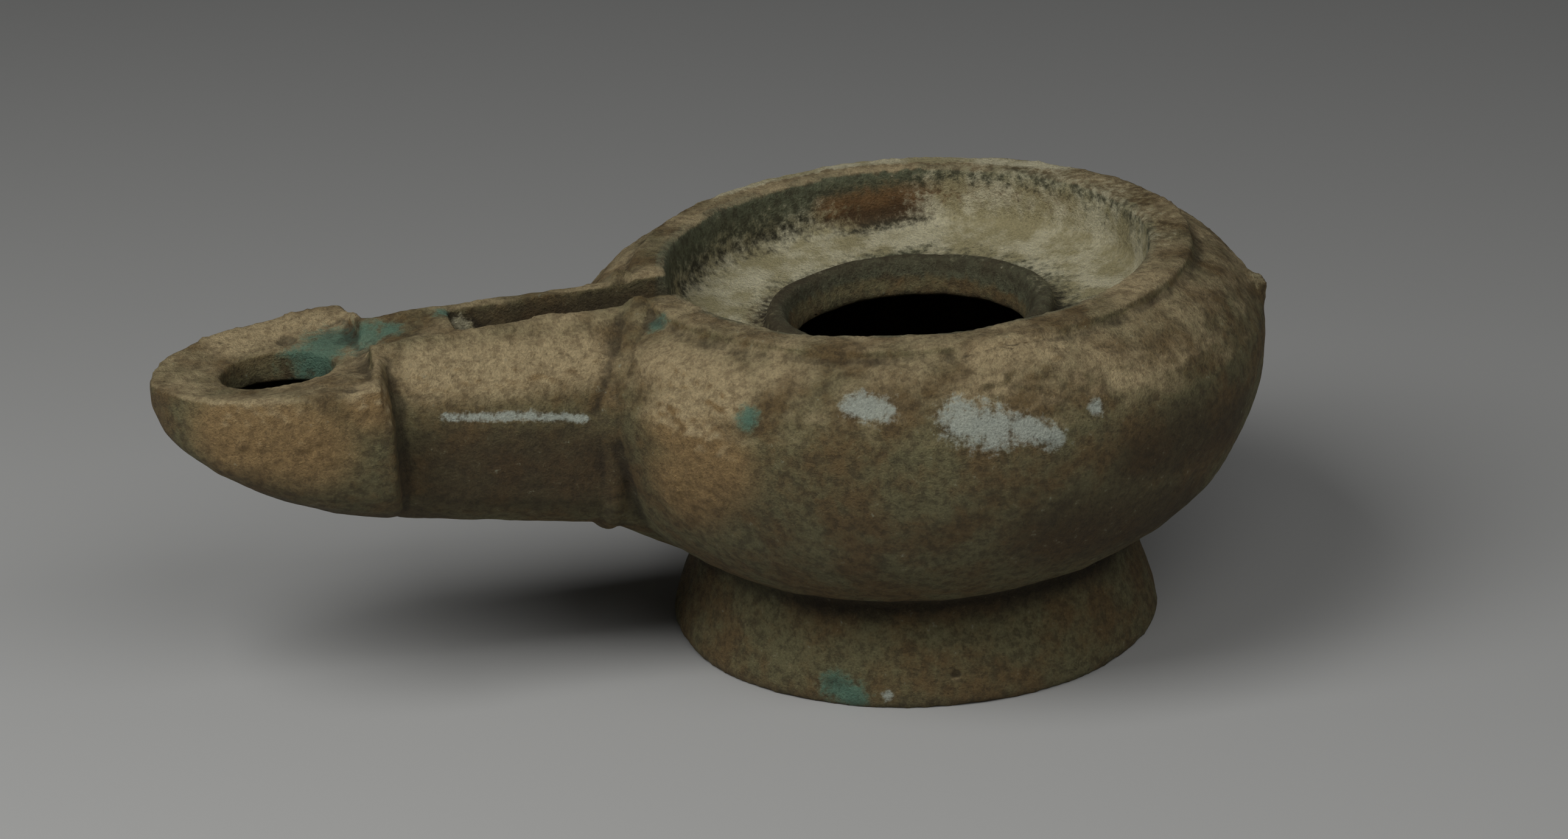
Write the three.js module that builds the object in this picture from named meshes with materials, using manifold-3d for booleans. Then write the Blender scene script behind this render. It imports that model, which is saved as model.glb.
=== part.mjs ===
// A Roman oil lamp of cast bronze: a round bowl on a flared ring foot, a deep sunk disc with a
// collared filling hole, and a long nozzle with an open channel that ends in a winged wick rest.
// Millimetres, +Z up. The nozzle points along -X, and the origin is under the middle of the lamp.
import * as THREE from 'three';
import Module from 'manifold-3d';
import { mergeVertices } from 'three/addons/utils/BufferGeometryUtils.js';

// ---- Driving dimensions -------------------------------------------------------------------
// The bowl, disc and nozzle share the lamp frame: its z = 0 is the plane of the rim's flat top,
// its axis is the bowl's axis, and heights below the rim are negative.
const RIM_RADIUS = 31;
const RIM_CENTRE = { x: 0.55, z: 43.15 }; // where the rim's middle stands above the foot's middle
const NOD = THREE.MathUtils.degToRad(1.8); // the lamp nods a little towards its nozzle
const WALL = 2.4; // thickness of the casting

// Sunk disc, its filling hole and the collar round it.
const RIM_FLAT = 4.5;
const RIM_STEP = 1.3; // height of the rim's outer edge above the shoulder
const BELLY_SHIFT = -0.4; // the belly and the disc sit a little nearer to the nozzle than the rim
const DISC_SHIFT = -0.5;
const DISC_DEPTH = { wall: 6.0, collar: 8.2 };
const DISC_SHEET = 1.9;
const COLLAR_RADIUS = 15.9;
const COLLAR_DEPTH = 6.2;
const COLLAR_LIP = 2.1;
const HOLE = { radius: 12.9, depth: 9.7 };

// Foot, level on its own axis.
const FOOT_RADIUS = 27.3;
const FOOT_WAIST = { radius: 24.2, z: 11.4 };
const FOOT_RING_WIDTH = 3.2;
const FOOT_HOLLOW = 6.8;

// Nozzle, along -x of the lamp frame.
const NECK_ROOT_X = -24; // inside the bowl
const BEAD_X = -37; // a bead marks where the neck leaves the bowl
const WING_X = -61.4; // where the neck ends and the wings of the wick rest stand out
const TIP_X = -84.1;
const NECK_TOP = { half: 4.4, z: -0.4 };
const CREST = { half: 13.5, z: -1.8 }; // upper edge of the wick rest, level with the wings
const WING = { half: 14.4, z: -6 };
const TIP_Z = -4.4;
const KEEL_Z = { rest: -20.3, wing: -20.9, bead: -25.4, root: -33.5 };
const WICK_HOLE = { x: -70.6, y: -0.4, along: 6.1, across: 5.3, z: -3.1 };

// Channel cut in the nozzle's top, open to the disc.
const CHANNEL = { halfWidth: 3.15, depth: 5.6, endX: -51.4 };

// Bead round the root of the nozzle, a half round that starts under the disc's rim.
const BEAD = { radius: 1.15, proud: 0.6, topX: -31.6 };

const TURN = { bowl: 60, disc: 54, inside: 36 };

// ---- Solids from three.js geometry --------------------------------------------------------
const wasm = await Module();
wasm.setup();

function solidFrom(geometry) {
  const bare = new THREE.BufferGeometry();
  bare.setIndex(geometry.index);
  bare.setAttribute('position', geometry.attributes.position);
  const merged = mergeVertices(bare, 1e-4);
  const kept = [];
  for (let i = 0; i < merged.index.count; i += 3) {
    const [a, b, c] = [0, 1, 2].map((k) => merged.index.getX(i + k));
    if (a !== b && b !== c && c !== a) kept.push(a, b, c);
  }
  const mesh = new wasm.Mesh({
    numProp: 3,
    vertProperties: merged.attributes.position.array,
    triVerts: new Uint32Array(kept),
  });
  return new wasm.Manifold(mesh);
}

function geometryFrom(solid) {
  const mesh = solid.getMesh();
  const geometry = new THREE.BufferGeometry();
  geometry.setAttribute('position', new THREE.BufferAttribute(mesh.vertProperties, 3));
  geometry.setIndex(new THREE.BufferAttribute(mesh.triVerts, 1));
  geometry.computeVertexNormals();
  return geometry;
}

// A body turned about the z axis from a profile of [radius, height] points, bottom first.
function turned(profile, segments) {
  const points = profile.map(([radius, height]) => new THREE.Vector2(radius, height));
  return new THREE.LatheGeometry(points, segments).rotateX(Math.PI / 2);
}

// Points of a smooth curve through a few [radius, height] points.
function smooth(profile, steps) {
  const curve = new THREE.SplineCurve(profile.map(([r, z]) => new THREE.Vector2(r, z)));
  return curve.getPoints(steps).map((p) => [p.x, p.y]);
}

// Carries a geometry from the lamp frame to the level frame of the foot.
function nodded(geometry) {
  return geometry.rotateY(-NOD).translate(RIM_CENTRE.x, 0, RIM_CENTRE.z);
}

// ---- Bowl and foot ------------------------------------------------------------------------
// The bowl below the rim, widest a third of the way down.
function belly() {
  const side = smooth(
    [
      [RIM_RADIUS - 0.2, -1.1],
      [33.8, -2.4],
      [36.1, -4.5],
      [38.5, -8],
      [38.9, -12],
      [38.1, -16],
      [36.6, -20],
      [34.3, -24],
      [30.3, -28],
      [25.8, -31],
      [18.5, -34],
    ],
    16,
  ).reverse();
  const profile = [[0, -35.7], [12, -35.4], ...side, [0, -1.1]];
  return nodded(turned(profile, TURN.bowl).translate(BELLY_SHIFT, 0, 0));
}

// The flat rim stands a step above the shoulder.
function rim() {
  const profile = [
    [0, -RIM_STEP - 2],
    [RIM_RADIUS - 0.3, -RIM_STEP - 2],
    [RIM_RADIUS, -RIM_STEP],
    [RIM_RADIUS, -0.4],
    [RIM_RADIUS - 0.4, 0],
    [0, 0],
  ];
  return nodded(turned(profile, TURN.bowl));
}

// The flared foot, hollow underneath so that it stands on a ring.
function foot() {
  const ring = FOOT_RADIUS - FOOT_RING_WIDTH;
  const flare = smooth(
    [
      [FOOT_RADIUS, 1.2],
      [26.8, 3.2],
      [25.7, 6.2],
      [24.7, 9],
      [FOOT_WAIST.radius, FOOT_WAIST.z],
    ],
    5,
  );
  const profile = [
    [ring, 0],
    [FOOT_RADIUS - 0.4, 0],
    ...flare,
    [FOOT_WAIST.radius, FOOT_WAIST.z + 2],
    [17, FOOT_WAIST.z + 2],
    [19.5, FOOT_HOLLOW],
    [ring - 2.6, FOOT_HOLLOW - 1.4],
    [ring, 0],
  ];
  return turned(profile, TURN.bowl);
}

// ---- Nozzle -------------------------------------------------------------------------------
const mix = THREE.MathUtils.lerp;
const step = THREE.MathUtils.smoothstep;

// The half section of the nozzle at x: its crest, the arris below it, and the keel.
function nozzleShape(x) {
  const neck = step(x, WING_X, WING_X + 0.5); // 0 in the wick rest, 1 in the neck
  const side = step(x, WING_X + 0.8, WING_X + 1.6); // the same lower down, as the wings lean back
  const along = THREE.MathUtils.clamp((WING_X - x) / (WING_X - TIP_X), 0, 1);
  const bow = Math.pow(1 - Math.pow(along, 2.2), 0.52); // plan of the wick rest, 1 to 0
  const rise = Math.pow(1 - Math.pow(along, 1.15), 0.55); // its keel in side view, 1 to 0
  const root = THREE.MathUtils.clamp((WING_X - x) / (WING_X - BEAD_X), 0, 1);
  const flare = THREE.MathUtils.clamp((x - BEAD_X) / (NECK_ROOT_X - BEAD_X), 0, 1);
  const dip = step(-x, 53, 64); // the neck's top sinks to the wick hole
  const lift = step(-x, 76.5, 83.5); // and the tip rises from it
  const neckKeel = mix(mix(KEEL_Z.wing, KEEL_Z.bead, root), KEEL_Z.root, flare);
  return {
    crestHalf: mix(mix(0.3, CREST.half, bow), NECK_TOP.half, neck),
    crestZ: mix(mix(TIP_Z + 1.9, CREST.z, Math.pow(bow, 0.8)), NECK_TOP.z, neck),
    topZ: mix(mix(NECK_TOP.z, WICK_HOLE.z, dip), TIP_Z + 1.7, lift),
    arrisHalf: mix(mix(0.5, WING.half, bow), mix(10.9, 13.1, root), side),
    arrisZ: mix(mix(TIP_Z, WING.z, Math.pow(bow, 0.6)), mix(-7.5, -10, root), side),
    keelZ: mix(mix(TIP_Z - 0.9, KEEL_Z.rest, rise), neckKeel, side),
  };
}

// Outline of the nozzle's section at x, from its top middle round one side, as [y, z] points.
const SECTION_STEPS = { top: 3, shoulder: 4, side: 2, bottom: 5 };
function halfSection(x) {
  const { crestHalf, crestZ, topZ, arrisHalf, arrisZ, keelZ } = nozzleShape(x);
  const sideZ = mix(arrisZ, keelZ, 0.42);
  const sideHalf = arrisHalf * 0.985;
  const points = [];
  for (let i = 0; i < SECTION_STEPS.top; i += 1) {
    const t = i / SECTION_STEPS.top;
    points.push([crestHalf * t, mix(topZ, crestZ, t * t)]);
  }
  for (let i = 0; i < SECTION_STEPS.shoulder; i += 1) {
    const t = i / SECTION_STEPS.shoulder;
    const bulge = 0.12 * (arrisHalf - crestHalf) * Math.sin(Math.PI * t);
    points.push([mix(crestHalf, arrisHalf, t) + bulge, mix(crestZ, arrisZ, t) + bulge * 0.6]);
  }
  for (let i = 0; i < SECTION_STEPS.side; i += 1) {
    const t = i / SECTION_STEPS.side;
    points.push([mix(arrisHalf, sideHalf, t), mix(arrisZ, sideZ, t)]);
  }
  for (let i = 0; i <= SECTION_STEPS.bottom; i += 1) {
    const turn = (i / SECTION_STEPS.bottom) * (Math.PI / 2);
    points.push([sideHalf * Math.cos(turn), mix(sideZ, keelZ, Math.sin(turn))]);
  }
  return points;
}

// A cylinder whose rings are drawn out into the sections that `outline` gives at each x.
function lofted(stations, outline) {
  const half = outline(stations[0]);
  const around = 2 * (half.length - 1);
  const geometry = new THREE.CylinderGeometry(1, 1, 1, around, stations.length - 1);
  const position = geometry.attributes.position;
  const middleOf = (points) => points.reduce((sum, p) => sum + p[1], 0) / points.length;
  for (let i = 0; i < position.count; i += 1) {
    const ring = Math.round((0.5 - position.getY(i)) * (stations.length - 1));
    const points = outline(stations[ring]);
    const onAxis = Math.hypot(position.getX(i), position.getZ(i)) < 0.5;
    const angle = Math.atan2(position.getX(i), position.getZ(i));
    const k = ((Math.round((angle / (2 * Math.PI)) * around) % around) + around) % around;
    const mirrored = k > around / 2;
    const [y, z] = points[mirrored ? around - k : k];
    if (onAxis) position.setXYZ(i, stations[ring], 0, middleOf(points));
    else position.setXYZ(i, stations[ring], mirrored ? y : -y, z);
  }
  return geometry;
}

function evenly(from, to, count) {
  return Array.from({ length: count }, (_, i) => mix(from, to, i / (count - 1)));
}

function nozzle() {
  const stations = [
    ...evenly(NECK_ROOT_X, BEAD_X, 4),
    ...evenly(BEAD_X - 4, WING_X + 3.5, 4),
    ...evenly(WING_X + 1.6, WING_X + 0.8, 3),
    ...evenly(WING_X + 0.5, WING_X, 3),
    ...evenly(WING_X - 2.2, TIP_X + 3, 8),
    ...evenly(TIP_X + 2.1, TIP_X, 4),
  ];
  return nodded(lofted(stations, halfSection));
}

// The bead lies on the neck where it springs from the bowl, from one side of the disc's rim
// down round the keel to the other side.
function rootBead() {
  const sunk = BEAD.radius - BEAD.proud;
  const onNeck = (z) => mix(BEAD_X - 0.3, BEAD.topX, THREE.MathUtils.clamp(1 + (z + 1) / 8, 0, 1));
  const along = (side) =>
    halfSection(BEAD_X)
      .slice(SECTION_STEPS.top)
      .filter(([y]) => y > 0.1)
      .map(([y, z]) => new THREE.Vector3(onNeck(z), side * (y - sunk), z + sunk * 0.5));
  const keel = new THREE.Vector3(BEAD_X - 0.3, 0, KEEL_Z.bead + sunk);
  const path = new THREE.CatmullRomCurve3([...along(-1), keel, ...along(1).reverse()]);
  const section = new THREE.Shape().absarc(0, 0, BEAD.radius, 0, 2 * Math.PI);
  const bead = new THREE.ExtrudeGeometry(section, {
    curveSegments: 8,
    steps: 34,
    bevelEnabled: false,
    extrudePath: path,
  });
  return nodded(bead);
}

// ---- What is hollow -----------------------------------------------------------------------
// The sunk disc, with its collar left standing round the filling hole.
function discCut() {
  const inner = RIM_RADIUS - RIM_FLAT;
  const profile = [
    [0, -HOLE.depth - 2],
    [HOLE.radius, -HOLE.depth - 2],
    [HOLE.radius, -HOLE.depth],
    [COLLAR_RADIUS - COLLAR_LIP, -COLLAR_DEPTH - 0.5],
    [COLLAR_RADIUS - COLLAR_LIP + 0.4, -COLLAR_DEPTH],
    [COLLAR_RADIUS - 0.4, -COLLAR_DEPTH],
    [COLLAR_RADIUS, -COLLAR_DEPTH - 0.5],
    [COLLAR_RADIUS, -DISC_DEPTH.collar],
    [inner - 1.6, -DISC_DEPTH.wall - 0.4],
    [inner - 0.4, -DISC_DEPTH.wall + 0.6],
    [inner, -0.4],
    [inner + 0.4, 0],
    [inner + 0.4, 2],
    [0, 2],
  ];
  return nodded(turned(profile, TURN.disc).translate(DISC_SHIFT, 0, 0));
}

// The oil's space in the bowl, under the sheet of the disc.
function reservoir() {
  const underDisc = (radius, floor) => [radius, -floor - DISC_SHEET];
  const lower = smooth(
    [
      [14, -33.2],
      [23.6, -29.9],
      [31.2, -23.9],
      [35.2, -17.6],
      [36.5, -12.4],
      [34.6, -8.2],
      [31.4, -5.4],
    ],
    9,
  );
  const profile = [
    [0, -33.7],
    ...lower,
    [29.4, -6.2],
    underDisc(RIM_RADIUS - RIM_FLAT - 0.4, DISC_DEPTH.wall),
    underDisc(COLLAR_RADIUS, DISC_DEPTH.collar),
    [HOLE.radius + 0.9, -HOLE.depth - 1.1],
    [HOLE.radius, -HOLE.depth - 0.5],
    [0, -HOLE.depth - 0.5],
  ];
  return nodded(turned(profile, TURN.inside).translate(BELLY_SHIFT, 0, 0));
}

// The bore runs under the channel from the reservoir to the wick hole.
function nozzleBore() {
  const ceiling = NECK_TOP.z - CHANNEL.depth - 1.8;
  const outline = (x) => {
    const { arrisHalf, keelZ, arrisZ } = nozzleShape(x);
    const half = arrisHalf - WALL;
    const floor = keelZ + WALL + 0.2;
    const top = Math.min(arrisZ - 0.2, mix(ceiling, -5.6, step(-x, 55, 64)));
    const points = [];
    const steps = 7;
    for (let i = 0; i <= steps; i += 1) {
      const turn = (i / steps) * Math.PI;
      const wide = Math.pow(Math.sin(turn), 0.7) * half;
      points.push([i % steps ? wide : 0, mix(floor, top, (1 + Math.cos(turn)) / 2)]);
    }
    return points;
  };
  return nodded(lofted(evenly(-30, TIP_X + 4.8, 10), outline));
}

// An upright oval through the wick rest's top into the bore.
function wickHole() {
  const height = 9;
  const hole = new THREE.CylinderGeometry(1, 1, height, 32).rotateX(Math.PI / 2);
  hole.scale(WICK_HOLE.along, WICK_HOLE.across, 1);
  return nodded(hole.translate(WICK_HOLE.x, WICK_HOLE.y, WICK_HOLE.z));
}

// The channel runs from the disc, through the rim, to its square end in the neck's top.
function channelCut() {
  const innerEnd = -COLLAR_RADIUS - 3;
  const height = CHANNEL.depth + 3; // clear of the neck's top
  const length = innerEnd - CHANNEL.endX;
  const cut = new THREE.BoxGeometry(length, 2 * CHANNEL.halfWidth, height);
  const floorZ = NECK_TOP.z - CHANNEL.depth;
  return nodded(cut.translate((innerEnd + CHANNEL.endX) / 2, 0, floorZ + height / 2));
}

// ---- The casting --------------------------------------------------------------------------
function lamp() {
  const raised = [rim(), foot(), nozzle(), rootBead()].map(solidFrom);
  const cuts = [discCut(), reservoir(), nozzleBore(), wickHole(), channelCut()].map(solidFrom);
  const outside = raised.reduce((whole, form) => whole.add(form), solidFrom(belly()));
  return cuts.reduce((whole, cut) => whole.subtract(cut), outside);
}

const bronze = new THREE.MeshStandardMaterial({ color: 0x6b6044, roughness: 0.85, metalness: 0.3 });
const casting = new THREE.Mesh(geometryFrom(lamp()), bronze);
casting.name = 'lamp';

// The origin goes to the middle of the lamp's length, on the ground.
const box = new THREE.Box3().setFromObject(casting);
casting.position.set(-(box.min.x + box.max.x) / 2, -(box.min.y + box.max.y) / 2, -box.min.z);

const oilLamp = new THREE.Group();
oilLamp.add(casting);
export default oilLamp;
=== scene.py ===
"""A Roman oil lamp of cast bronze, long buried, on a studio floor."""

import itertools
import math

import bmesh
import bpy
import numpy as np
from mathutils import Euler, Matrix, Vector, noise
from mathutils.bvhtree import BVHTree


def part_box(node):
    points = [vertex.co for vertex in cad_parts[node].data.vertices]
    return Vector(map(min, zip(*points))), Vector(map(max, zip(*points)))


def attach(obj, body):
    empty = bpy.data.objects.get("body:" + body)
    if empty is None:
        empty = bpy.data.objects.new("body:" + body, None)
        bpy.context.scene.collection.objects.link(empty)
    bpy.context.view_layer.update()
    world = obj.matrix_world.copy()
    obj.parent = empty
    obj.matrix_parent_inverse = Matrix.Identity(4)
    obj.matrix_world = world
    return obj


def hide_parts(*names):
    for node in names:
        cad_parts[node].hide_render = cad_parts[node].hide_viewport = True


bl_info = {
    "name": "Roman Oil Lamp",
    "version": (1, 0, 0),
    "blender": (4, 5, 0),
    "location": "View3D > Sidebar > Oil Lamp",
    "description": "A cast bronze oil lamp under its burial patina, on a studio floor",
    "category": "Object",
}

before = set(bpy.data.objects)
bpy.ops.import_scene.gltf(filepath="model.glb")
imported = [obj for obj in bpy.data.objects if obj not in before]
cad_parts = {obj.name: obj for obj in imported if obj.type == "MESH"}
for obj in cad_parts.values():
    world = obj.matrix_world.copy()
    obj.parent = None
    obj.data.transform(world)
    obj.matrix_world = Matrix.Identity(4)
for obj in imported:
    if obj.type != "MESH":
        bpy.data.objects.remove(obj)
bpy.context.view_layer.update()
MM = 0.001
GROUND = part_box("lamp")[0].z

MOST_FACES = 190_000  # triangles left on the whole lamp
DISC_MIDDLE = np.array([22.0, 0.0, 36.0]) * MM
DISC_RADIUS = 26.5 * MM
COLLAR_RADIUS = 15.5

# Softboxes: the middle in metres, and the width and depth.
KEY_SOFTBOX = ((-0.377, -0.168, 0.42), 0.50, 0.24)
FRONT_SOFTBOX = ((0.152, -0.431, 0.42), 0.50, 0.35)

# The camera: its place, and how far it is turned, tipped down and rolled, in degrees.
EYE = Vector((-98.6, -455.1, 208.6)) * MM
EYE_TURN = -13.128
EYE_DOWN = 21.474
EYE_ROLL = 2.26

# Sizes of the surface's patterns: grit of fired earth, pores and flecks, and clouds of patina.
GRIT = 0.3 * MM
PORES = 1.0 * MM
CLOUDS = 6 * MM
RELIEF = 0.5 * MM  # height of grit and pores together


def linear(code):
    """A hex sRGB colour as linear red, green and blue, with an alpha of 1."""
    channels = [int(code[i : i + 2], 16) / 255 for i in (1, 3, 5)]
    curve = [c / 12.92 if c <= 0.04045 else ((c + 0.055) / 1.055) ** 2.4 for c in channels]
    return (*curve, 1.0)


# Colours that only mix into others.
DISC_GREEN = linear("#6c735a")
# Darker umber skin, partly the bronze's own and partly painted shade.
UMBER_SKIN_AND_SHADE = linear("#4a3b26")
PORE = linear("#3f3524")
FLECK = linear("#a39a78")
DAMP_EARTH = linear("#6b5638")
DULL_LIME = linear("#b9ae84")
# Dirt and painted shade, darkening the grooves and corners.
GROOVE_DIRT_AND_SHADE = linear("#2a2318")


# ---- Where the burial left its marks, and where shade and highlights are painted -----------
# Each place is a run of points in millimetres in the lamp's own frame, and a reach round it.
# The nozzle points along -X, and the tops of neck and rim are about 41 and 43 mm up.

# Tan soil that set hard on what lay upwards.
SOIL = [
    ([(-54, -11, 35), (-47, -13.5, 34)], 4.5),  # the near side of the wick rest
    ([(-40, -13, 38)], 3.0),
    ([(-52, 8, 38.5), (-44, 11, 38.5), (-38, 9, 39)], 3.2),  # its far side
    ([(-33, -8, 38.5), (-16, -9, 38.5)], 3.4),  # the neck's shoulders
    ([(-33, 8, 39), (-16, 9, 39.5)], 3.4),
    ([(-9, -21, 36), (-6, -26, 31), (-9, -22, 27)], 4.2),  # the bowl beside the bead
    ([(-4, -24, 38), (-10, -15, 40)], 3.4),
    ([(21.5, -31.6, 41.3), (28.3, -31.7, 41.3)], 2.6),  # a lump under the rim
]

# Lime, cream to pale green, that settled in the disc and along the rim.
LIME = [
    ([(35, 21, 37), (42, 14.5, 37.3), (46, 6, 37.5), (46, -4, 37.5)], 6.0),
    ([(0, -4, 35.4), (2, 9, 35.6), (9, 18, 35.8), (19, 22, 36.3)], 4.2),
    ([(19, 22, 36.3), (30, 22, 36.8)], 2.6),
    ([(4, 26, 42.8), (14, 29.5, 43.1), (25, 30, 43.5), (36, 26.5, 43.7), (46, 19, 43.8)], 1.3),
    ([(59.2, -8.9, 37.2)], 1.3),
    ([(-27.5, 3, 38.5)], 1.4),
]

# Verdigris, in and round the wick hole and along the channel.
VERDIGRIS = [
    ([(-43.4, 2.8, 37.2), (-41, 4.6, 37.5)], 3.0),
    ([(-38, 2.2, 39.4)], 2.2),
    ([(-35.3, 1.6, 40)], 1.3),
    ([(-29.2, 2.2, 41.1)], 1.0),
    ([(-7.9, -8.7, 40.9)], 1.1),
    ([(-2.7, -27.6, 36.4)], 1.2),
    ([(6.7, -22.3, 2.2), (8.4, -23.6, 1.4)], 1.5),
]

# Bluish white bloom where the skin of the bronze shows through; on the belly's shoulder it is partly worn
# skin and partly painted sheen.
BLOOM_AND_HIGHLIGHTS = [
    ([(7.5, -32.6, 38.6), (10, -33.8, 38)], 1.3),
    ([(17.5, -36.8, 37.2), (21, -37.8, 36.2)], 2.0),
    ([(23.5, -38, 36.2), (27, -38.2, 34.5)], 1.2),
    ([(32.2, -36.5, 36.5)], 0.8),
    # A painted highlight: a thin pale line along the neck's near edge.
    ([(-32, -11.2, 34.3), (-24, -11.8, 33.7), (-17, -12.6, 32.8)], 0.42),
    ([(12, -25.2, 1.7)], 0.5),
]

ROUND = np.linspace(0, 2 * math.pi, 17)

# Darker umber skin, partly the bronze's own and partly painted shade: the neck's side, under the wick rest,
# the collar's lip and under the belly.
UMBER_AND_SHADE = [
    ([(-32, -11.5, 28), (-17, -13, 27)], 5.0),
    ([(-50, -6, 24), (-36, -8, 20)], 4.5),
    ([(28, -37, 22), (44, -28, 20)], 5.0),
    ([(38, -36, 30), (52, -26, 28)], 4.0),
    ([(22 + COLLAR_RADIUS * math.cos(a), COLLAR_RADIUS * math.sin(a), 36) for a in ROUND], 1.7),
    ([(-26, 3.2, 38), (-6, 3.2, 39)], 2.4),
    ([(4, -18, 11), (22, -25, 11), (40, -18, 11)], 1.8),
]

# Rust-brown stain low on the disc's far wall.
RUST = [([(20, 26, 39), (30, 25.4, 39.6), (38, 21, 39.8), (45, 13, 40)], 2.0)]

COLOURED_PLACES = {"lime": LIME, "verdigris": VERDIGRIS, "bloom_and_highlights": BLOOM_AND_HIGHLIGHTS, "rust": RUST, "umber_and_shade": UMBER_AND_SHADE}

# Lumps stand proud and hollows are sunk: a point, a reach and a height in millimetres.
LUMPS = [
    ((59.0, -8.9, 37.0), 1.5, 1.5),
    ((22.5, -31.8, 41.0), 2.4, 1.0),
    ((27.0, -32.0, 41.0), 2.2, 1.3),
    ((-41.6, -8.3, 38.6), 2.2, 0.7),
    ((-45.8, 7.1, 38.3), 1.0, -0.9),
    ((-41.6, -12.4, 39.2), 1.1, -0.5),
    ((6.7, -22.3, 2.2), 1.4, -0.6),
    ((19.2, -26.4, 3.7), 0.6, -0.5),
]


def colour_setting(name, description, code):
    return bpy.props.FloatVectorProperty(
        name=name, description=description, default=linear(code), size=4, subtype="COLOR"
    )


def length_setting(name, description, metres):
    return bpy.props.FloatProperty(name=name, description=description, default=metres, unit="LENGTH")


class LampSettings(bpy.types.PropertyGroup):
    """Sizes and colours of the lamp's surface."""

    facet: length_setting("Facet", "Size of the surface's facets", 0.45 * MM)
    unevenness: length_setting("Unevenness", "Height of the casting's waves", 0.22 * MM)
    crust: length_setting("Crust", "Thickness of the hard soil", 0.45 * MM)
    patina: colour_setting("Patina", "The bronze's brown skin", "#76623f")
    olive: colour_setting("Olive", "Greener skin among the brown", "#7b7552")
    soil: colour_setting("Soil", "Tan crust of earth", "#c8b389")
    clay: colour_setting("Clay", "Browner earth on the sides", "#a4875a")
    lime: colour_setting("Lime", "Cream crust of lime", "#e3dbb8")
    verdigris: colour_setting("Verdigris", "Blue-green salts of copper", "#5d8774")
    bloom_and_highlights: colour_setting("Bloom", "Bluish white worn skin", "#bcc3b6")
    # This colour also paints the highlight on the neck's edge and the sheen on the belly.
    rust: colour_setting("Rust", "Rusty stain", "#8d6236")


class StudioSettings(bpy.types.PropertyGroup):
    """The floor, the lights and the camera's lens."""

    floor: colour_setting("Floor", "Pale grey floor", "#b2b2b0")
    key: bpy.props.FloatProperty(
        name="Key light", description="Power of the softbox at the left", default=2.2, unit="POWER"
    )
    front: bpy.props.FloatProperty(
        name="Front light", description="Power of the softbox at the front right", default=1.4, unit="POWER"
    )
    lens: bpy.props.FloatProperty(
        name="Lens", description="Focal length", default=104.3, subtype="DISTANCE_CAMERA"
    )


# ---- Mesh helpers --------------------------------------------------------------------------
def vertices_of(mesh, what="co"):
    """The mesh's points, or its normals, as rows of three."""
    flat = np.zeros(len(mesh.vertices) * 3, np.float32)
    if what == "co":
        mesh.vertices.foreach_get("co", flat)
    else:
        mesh.vertex_normals.foreach_get("vector", flat)
    return flat.reshape(-1, 3).astype(float)


def move_to(mesh, points):
    """Puts the mesh's vertices at the points."""
    mesh.vertices.foreach_set("co", points.astype(np.float32).ravel())
    mesh.update()


def merged_copy(node, name):
    """A new object with the casting's own form, its loose triangles joined."""
    mesh = bpy.data.meshes.new(name)
    bm = bmesh.new()
    bm.from_mesh(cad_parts[node].data)
    bmesh.ops.remove_doubles(bm, verts=bm.verts, dist=0.001 * MM)
    bm.to_mesh(mesh)
    bm.free()
    piece = bpy.data.objects.new(name, mesh)
    bpy.context.scene.collection.objects.link(piece)
    return piece


def settle(piece):
    """Makes the piece's modifiers part of its mesh."""
    graph = bpy.context.evaluated_depsgraph_get()
    made = bpy.data.meshes.new_from_object(piece.evaluated_get(graph), depsgraph=graph)
    piece.modifiers.clear()
    spent = piece.data
    piece.data = made
    bpy.data.meshes.remove(spent)


def waves(points, size, octaves=2, shift=0.0):
    """Smooth noise over the points, from about -1 to 1, with swells of that size."""
    scaled = points / size + shift
    return np.array([noise.fractal(p, 1.0, 2.0, octaves) for p in scaled.tolist()])


def reach(points, places):
    """1 along each place's run, 0.5 at its reach, and 0 at twice its reach."""
    cover = np.zeros(len(points))
    for run, radius in places:
        ends = [np.array(p) * MM for p in run]
        for start, end in zip(ends, ends[1:] or ends):
            along = end - start
            share = np.clip((points - start) @ along / max(along @ along, 1e-12), 0, 1)
            away = np.linalg.norm(points - start - share[:, None] * along, axis=1)
            cover = np.maximum(cover, 1 - 0.5 * away / (radius * MM))
    return np.clip(cover, 0, 1)


def enclosed(mesh):
    """The vertices inside the casting, which its walls shut off in nearly all directions."""
    tree = BVHTree.FromPolygons([v.co for v in mesh.vertices], [p.vertices for p in mesh.polygons])
    # the six ways along the axes, and the eight to the corners
    sides = [s for s in itertools.product((-1, 0, 1), repeat=3) if sum(map(abs, s)) in (1, 3)]
    inside = []
    for vertex in mesh.vertices:
        start = vertex.co + vertex.normal * 0.05 * MM
        open_sides = 0
        for side in sides:
            open_sides += tree.ray_cast(start, side)[0] is None
            if open_sides > 2:
                break
        else:
            inside.append(vertex.index)
    return inside


def thin_out(piece, keep, group=None):
    """Collapses faces until that share is left, of the whole piece or with only a group's."""
    decimate = piece.modifiers.new("fewer faces", "DECIMATE")
    decimate.ratio = keep
    decimate.vertex_group = group or ""
    decimate.use_collapse_triangulate = True
    settle(piece)


def smoothed(mesh, points, passes):
    """The points after each has drawn towards its neighbours that many times."""
    pairs = np.zeros(len(mesh.edges) * 2, np.int64)
    mesh.edges.foreach_get("vertices", pairs)
    a, b = pairs.reshape(-1, 2).T
    count = np.bincount(pairs, minlength=len(points))[:, None]
    for _ in range(passes):
        total = np.zeros_like(points)
        for axis in range(points.shape[1]):
            total[:, axis] += np.bincount(a, points[b, axis], len(points))
            total[:, axis] += np.bincount(b, points[a, axis], len(points))
        points = total / np.maximum(count, 1)
    return points


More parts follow.
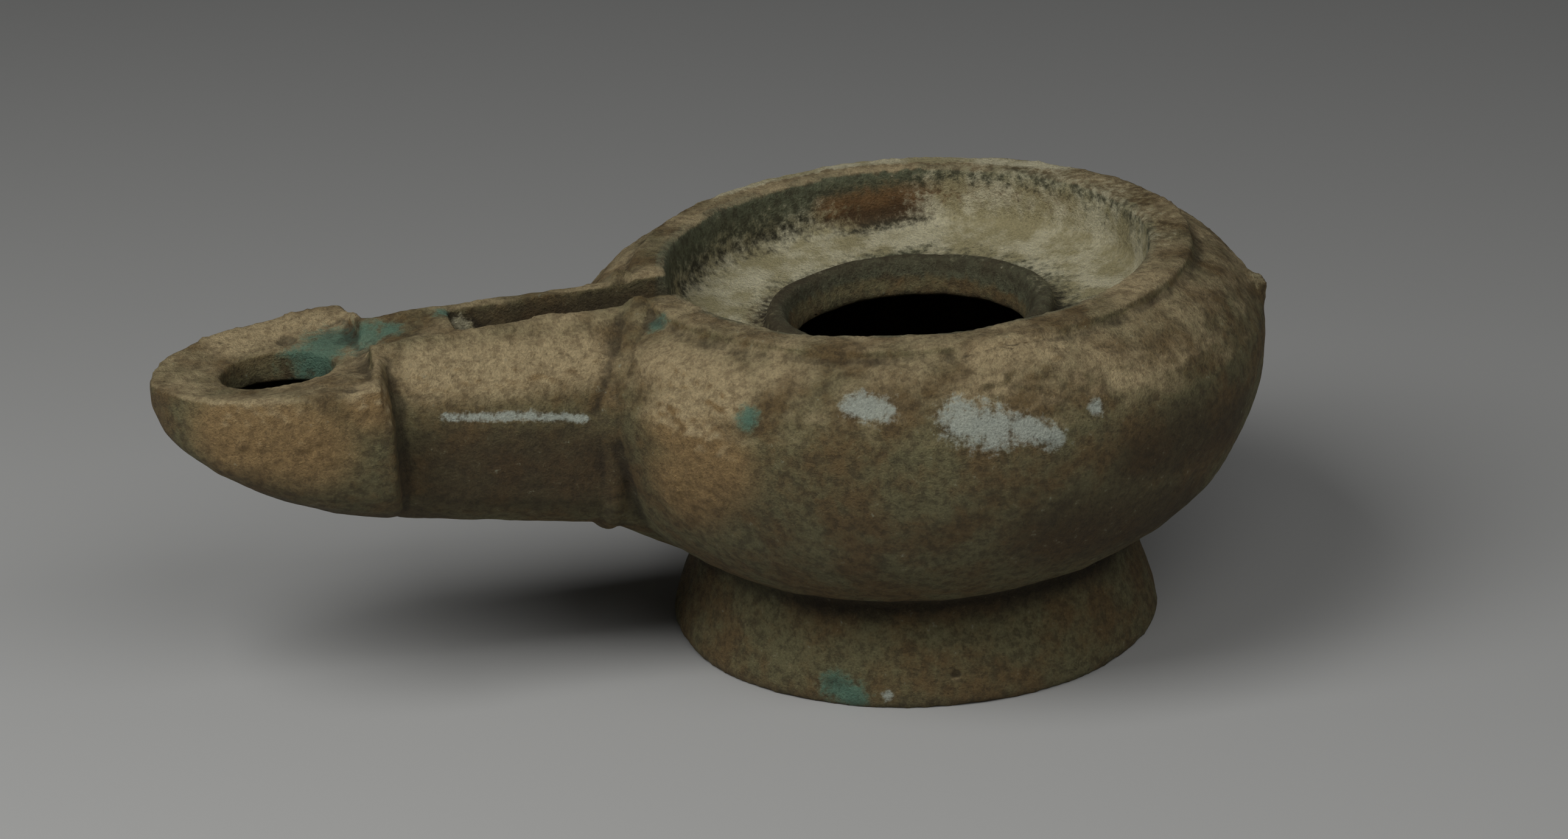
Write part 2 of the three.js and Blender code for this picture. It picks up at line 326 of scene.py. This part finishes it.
def write_attribute(mesh, name, values):
    """Stores one number a vertex, which the material reads by name."""
    layer = mesh.attributes.new(name, "FLOAT", "POINT")
    layer.data.foreach_set("value", np.clip(values, 0, 1).astype(np.float32))


# ---- The lamp's surface --------------------------------------------------------------------
def lies_up(normals):
    """0 on steep and hanging faces, 1 on level ones."""
    return np.clip((normals[:, 2] - 0.1) / 0.6, 0, 1)


def soil_cover(points, normals):
    """How much hard soil lies at each point."""
    drift = 0.5 + 0.5 * waves(points, 6 * MM, 3, 11.0)
    in_disc = np.linalg.norm(points[:, :2] - DISC_MIDDLE[:2], axis=1) < DISC_RADIUS
    rest = np.where(in_disc, 0.15, 0.55) * lies_up(normals) * (0.4 + 0.9 * drift)
    return np.clip(np.maximum(rest, reach(points, SOIL)), 0, 1)


def age_casting(mesh, settings):
    """Gives the clean casting its waves, lumps, pits and crust."""
    points = vertices_of(mesh)
    normals = vertices_of(mesh, "normal")
    height = settings.unevenness * waves(points, 8 * MM, 2)
    height += 0.3 * settings.unevenness * waves(points, 2.2 * MM, 2, 5.0)
    soil = soil_cover(points, normals)
    rough = np.abs(waves(points, 1.5 * MM, 3, 3.0))
    height += settings.crust * soil**2 * (0.15 + 1.6 * rough)
    for place, size, proud in LUMPS:
        away = np.linalg.norm(points - np.array(place) * MM, axis=1) / (size * MM)
        height += proud * MM * np.exp(-(away**2)) * (0.8 + 0.6 * rough)
    points += normals * height[:, None]
    points[:, 2] = np.maximum(points[:, 2], GROUND)  # the foot stands on the floor
    move_to(mesh, points)


def mark_surface(mesh):
    """Writes where each crust and colour lies, for the material."""
    points = vertices_of(mesh)
    normals = vertices_of(mesh, "normal")
    write_attribute(mesh, "soil", soil_cover(points, normals))
    write_attribute(mesh, "level", lies_up(normals))
    from_middle = np.linalg.norm(points[:, :2] - DISC_MIDDLE[:2], axis=1)
    in_disc = (from_middle < DISC_RADIUS + MM) & (points[:, 2] > DISC_MIDDLE[2] - MM)
    write_attribute(mesh, "green", in_disc.astype(float))
    for name, places in COLOURED_PLACES.items():
        write_attribute(mesh, name, reach(points, places))
    # How sunk each point is; the material darkens sunk points with dirt and painted shade.
    sunk = ((smoothed(mesh, points, 14) - points) * normals).sum(axis=1) / MM
    write_attribute(mesh, "hollow", 0.5 + 1.6 * sunk)


# ---- Materials -----------------------------------------------------------------------------
def add_node(tree, kind, links=None, **settings):
    """Adds a node with its settings, and sets or links its inputs."""
    made = tree.nodes.new(kind)
    for name, value in settings.items():
        setattr(made, name, value)
    for name, value in (links or {}).items():
        if isinstance(value, bpy.types.NodeSocket):
            tree.links.new(value, made.inputs[name])
        else:
            made.inputs[name].default_value = value
    return made


def new_material(name):
    """A material with only its output and surface shader."""
    material = bpy.data.materials.new(name)
    material.use_nodes = True
    tree = material.node_tree
    tree.nodes.clear()
    shader = add_node(tree, "ShaderNodeBsdfPrincipled")
    add_node(tree, "ShaderNodeOutputMaterial", {"Surface": shader.outputs["BSDF"]})
    return material, tree, shader


def grain(tree, place, size, detail=3.0, roughness=0.55):
    """Noise from 0 to 1 with grains of that size in metres."""
    links = {"Vector": place, "Scale": 1 / size, "Detail": detail, "Roughness": roughness}
    return add_node(tree, "ShaderNodeTexNoise", links).outputs["Fac"]


def between(tree, value, low, high):
    """0 where the value is under low, rising smoothly to 1 above high."""
    links = {"Value": value, "From Min": low, "From Max": high}
    return add_node(tree, "ShaderNodeMapRange", links, interpolation_type="SMOOTHSTEP").outputs["Result"]


def arithmetic(tree, operation, a, b, c=0.0):
    """The result of a sum or product of the values."""
    return add_node(tree, "ShaderNodeMath", {0: a, 1: b, 2: c}, operation=operation).outputs[0]


def written(tree, name):
    """A number that was stored on the mesh."""
    return add_node(tree, "ShaderNodeAttribute", attribute_name=name).outputs["Fac"]


def blend(tree, share, under, over):
    """The colour over laid on the colour under."""
    links = {0: share, 6: under, 7: over}
    return add_node(tree, "ShaderNodeMix", links, data_type="RGBA").outputs[2]


def thinly(tree, share, strength, under, over):
    """The colour over laid on the colour under, at that strength."""
    return blend(tree, arithmetic(tree, "MULTIPLY", share, strength), under, over)


def ragged(tree, name, texture, bite, edge):
    """The share of the surface that a crust covers, its edge broken up by a texture."""
    broken = arithmetic(tree, "MULTIPLY_ADD", texture, bite, -0.5 * bite)
    total = arithmetic(tree, "ADD", written(tree, name), broken)
    return between(tree, total, 0.5 - edge, 0.5 + edge)


def buried_bronze(settings):
    """Cast bronze, long buried: matt brown and olive skin, with crusts of soil, lime and verdigris."""
    material, tree, shader = new_material("buried cast bronze")
    place = add_node(tree, "ShaderNodeTexCoord").outputs["Object"]
    fine = grain(tree, place, GRIT, 4.0, 0.75)
    speckle = grain(tree, place, PORES, 5.0, 0.7)
    blotch = grain(tree, place, CLOUDS, 5.0, 0.65)

    # The skin of the metal, greener in the disc, and darker where it is bare and sheltered: this umber is
    # partly the bronze's own skin and partly painted shade.
    colour = blend(tree, between(tree, blotch, 0.38, 0.62), settings.patina, settings.olive)
    colour = thinly(tree, written(tree, "green"), 0.8, colour, DISC_GREEN)
    colour = thinly(tree, ragged(tree, "umber_and_shade", blotch, 1.0, 0.35), 0.75, colour, UMBER_SKIN_AND_SHADE)
    dark = between(tree, speckle, 0.56, 0.38)
    colour = thinly(tree, dark, 0.55, colour, PORE)
    colour = thinly(tree, between(tree, speckle, 0.6, 0.75), 0.5, colour, FLECK)

    # Earth, paler where it lies level, and the stains and salts over it.
    earth = blend(tree, between(tree, written(tree, "level"), 0.1, 0.9), settings.clay, settings.soil)
    earth = thinly(tree, dark, 0.45, earth, DAMP_EARTH)
    colour = thinly(tree, ragged(tree, "soil", blotch, 1.0, 0.3), 0.92, colour, earth)
    colour = thinly(tree, ragged(tree, "rust", speckle, 1.2, 0.3), 0.75, colour, settings.rust)
    colour = thinly(tree, ragged(tree, "verdigris", speckle, 1.6, 0.3), 0.8, colour, settings.verdigris)
    # Bluish white bloom, partly worn skin and partly painted highlight and sheen.
    colour = thinly(tree, ragged(tree, "bloom_and_highlights", speckle, 1.8, 0.25), 0.85, colour, settings.bloom_and_highlights)

    # Dirt and painted shade in the grooves, then lime, then the grit's own light and dark grains.
    colour = thinly(tree, between(tree, written(tree, "hollow"), 0.54, 0.85), 0.6, colour, GROOVE_DIRT_AND_SHADE)
    chalk = blend(tree, between(tree, blotch, 0.4, 0.6), DULL_LIME, settings.lime)
    colour = thinly(tree, ragged(tree, "lime", speckle, 1.3, 0.25), 0.92, colour, chalk)
    links = {"Value": fine, "To Min": 0.3, "To Max": 1.75}
    mottle = add_node(tree, "ShaderNodeMapRange", links).outputs["Result"]
    links = {0: colour, 3: mottle}
    colour = add_node(tree, "ShaderNodeVectorMath", links, operation="SCALE").outputs["Vector"]
    tree.links.new(colour, shader.inputs["Base Color"])

    relief = arithmetic(tree, "MULTIPLY_ADD", speckle, 1.1, fine)
    links = {"Height": relief, "Strength": 1.0, "Distance": RELIEF}
    bump = add_node(tree, "ShaderNodeBump", links).outputs["Normal"]
    tree.links.new(bump, shader.inputs["Normal"])
    shader.inputs["Roughness"].default_value = 0.78
    shader.inputs["Metallic"].default_value = 0.0
    shader.inputs["Specular IOR Level"].default_value = 0.35
    return material


def studio_paper(colour):
    """Matt background paper, smooth and plain."""
    material, _, shader = new_material("studio paper")
    shader.inputs["Base Color"].default_value = colour
    shader.inputs["Roughness"].default_value = 0.9
    shader.inputs["Specular IOR Level"].default_value = 0.1
    return material


# ---- Operators -----------------------------------------------------------------------------
class OBJECT_OT_age_oil_lamp(bpy.types.Operator):
    """Makes the buried bronze lamp from its clean casting"""

    bl_idname = "object.age_oil_lamp"
    bl_label = "Oil Lamp"
    bl_options = {"REGISTER", "UNDO"}

    def execute(self, context):
        settings = context.scene.oil_lamp
        facet = settings.facet * 1
        lamp = merged_copy("lamp", "oil_lamp")
        remesh = lamp.modifiers.new("even facets", "REMESH")
        remesh.mode = "VOXEL"
        remesh.voxel_size = facet
        remesh.use_smooth_shade = True
        soften = lamp.modifiers.new("worn edges", "SMOOTH")
        soften.factor = 0.5
        soften.iterations = 3
        settle(lamp)
        inside = enclosed(lamp.data)
        age_casting(lamp.data, settings)
        group = lamp.vertex_groups.new(name="inside")
        group.add(inside, 1.0, "REPLACE")
        thin_out(lamp, 1 - 0.93 * len(inside) / len(lamp.data.vertices), group.name)
        lamp.vertex_groups.clear()
        thin_out(lamp, min(1.0, MOST_FACES / len(lamp.data.polygons)))
        mark_surface(lamp.data)
        lamp.data.materials.clear()
        lamp.data.materials.append(buried_bronze(settings))
        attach(lamp, "root")
        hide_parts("lamp")
        return {"FINISHED"}


def softbox(name, place, width, depth, power):
    """A light of that width and depth in metres, hung level and facing down."""
    light = bpy.data.lights.new(name, "AREA")
    light.shape = "RECTANGLE"
    light.size = width
    light.size_y = depth
    light.energy = power
    hung = bpy.data.objects.new(name, light)
    hung.location = place
    bpy.context.scene.collection.objects.link(hung)


class OBJECT_OT_set_oil_lamp_stage(bpy.types.Operator):
    """Lays the pale floor, and sets the soft lights and the camera"""

    bl_idname = "object.set_oil_lamp_stage"
    bl_label = "Stage"
    bl_options = {"REGISTER", "UNDO"}

    def execute(self, context):
        scene = context.scene
        settings = scene.oil_lamp_studio
        bm = bmesh.new()
        bmesh.ops.create_circle(bm, cap_ends=True, segments=64, radius=4.0)
        mesh = bpy.data.meshes.new("studio_floor")
        bm.to_mesh(mesh)
        bm.free()
        floor = bpy.data.objects.new("studio_floor", mesh)
        mesh.materials.append(studio_paper(settings.floor))
        scene.collection.objects.link(floor)

        softbox("key softbox", *KEY_SOFTBOX, settings.key)
        softbox("front softbox", *FRONT_SOFTBOX, settings.front)
        world = bpy.data.worlds.new("studio")
        world.use_nodes = True
        walls = world.node_tree.nodes["Background"].inputs
        walls["Color"].default_value = linear("#6a6b6d")
        walls["Strength"].default_value = 0.15
        scene.world = world
        scene.view_settings.view_transform = "Standard"

        camera = bpy.data.cameras.new("camera")
        camera.lens = settings.lens
        camera.sensor_width = 36
        camera.clip_start = 0.01
        eye = bpy.data.objects.new("camera", camera)
        turn, down, roll = (math.radians(a) for a in (EYE_TURN, EYE_DOWN, EYE_ROLL))
        aim = Euler((math.pi / 2 - down, 0, turn)).to_matrix().to_4x4()
        eye.matrix_world = Matrix.Translation(EYE) @ aim @ Matrix.Rotation(-roll, 4, "Z")
        scene.collection.objects.link(eye)
        scene.camera = eye
        return {"FINISHED"}


class VIEW3D_PT_oil_lamp(bpy.types.Panel):
    """Lists the lamp and its stage"""

    bl_label = "Oil Lamp"
    bl_space_type = "VIEW_3D"
    bl_region_type = "UI"
    bl_category = "Oil Lamp"

    def draw(self, context):
        for settings in (context.scene.oil_lamp, context.scene.oil_lamp_studio):
            box = self.layout.box()
            for name in settings.__annotations__:
                box.prop(settings, name)
        for operator in (OBJECT_OT_age_oil_lamp, OBJECT_OT_set_oil_lamp_stage):
            self.layout.operator(operator.bl_idname)


CLASSES = (
    LampSettings,
    StudioSettings,
    OBJECT_OT_age_oil_lamp,
    OBJECT_OT_set_oil_lamp_stage,
    VIEW3D_PT_oil_lamp,
)


def register():
    for cls in CLASSES:
        bpy.utils.register_class(cls)
    bpy.types.Scene.oil_lamp = bpy.props.PointerProperty(type=LampSettings)
    bpy.types.Scene.oil_lamp_studio = bpy.props.PointerProperty(type=StudioSettings)


def unregister():
    del bpy.types.Scene.oil_lamp_studio
    del bpy.types.Scene.oil_lamp
    for cls in reversed(CLASSES):
        bpy.utils.unregister_class(cls)


def main():
    register()
    bpy.ops.object.set_oil_lamp_stage()
    bpy.ops.object.age_oil_lamp()


if __name__ == "__main__":
    main()
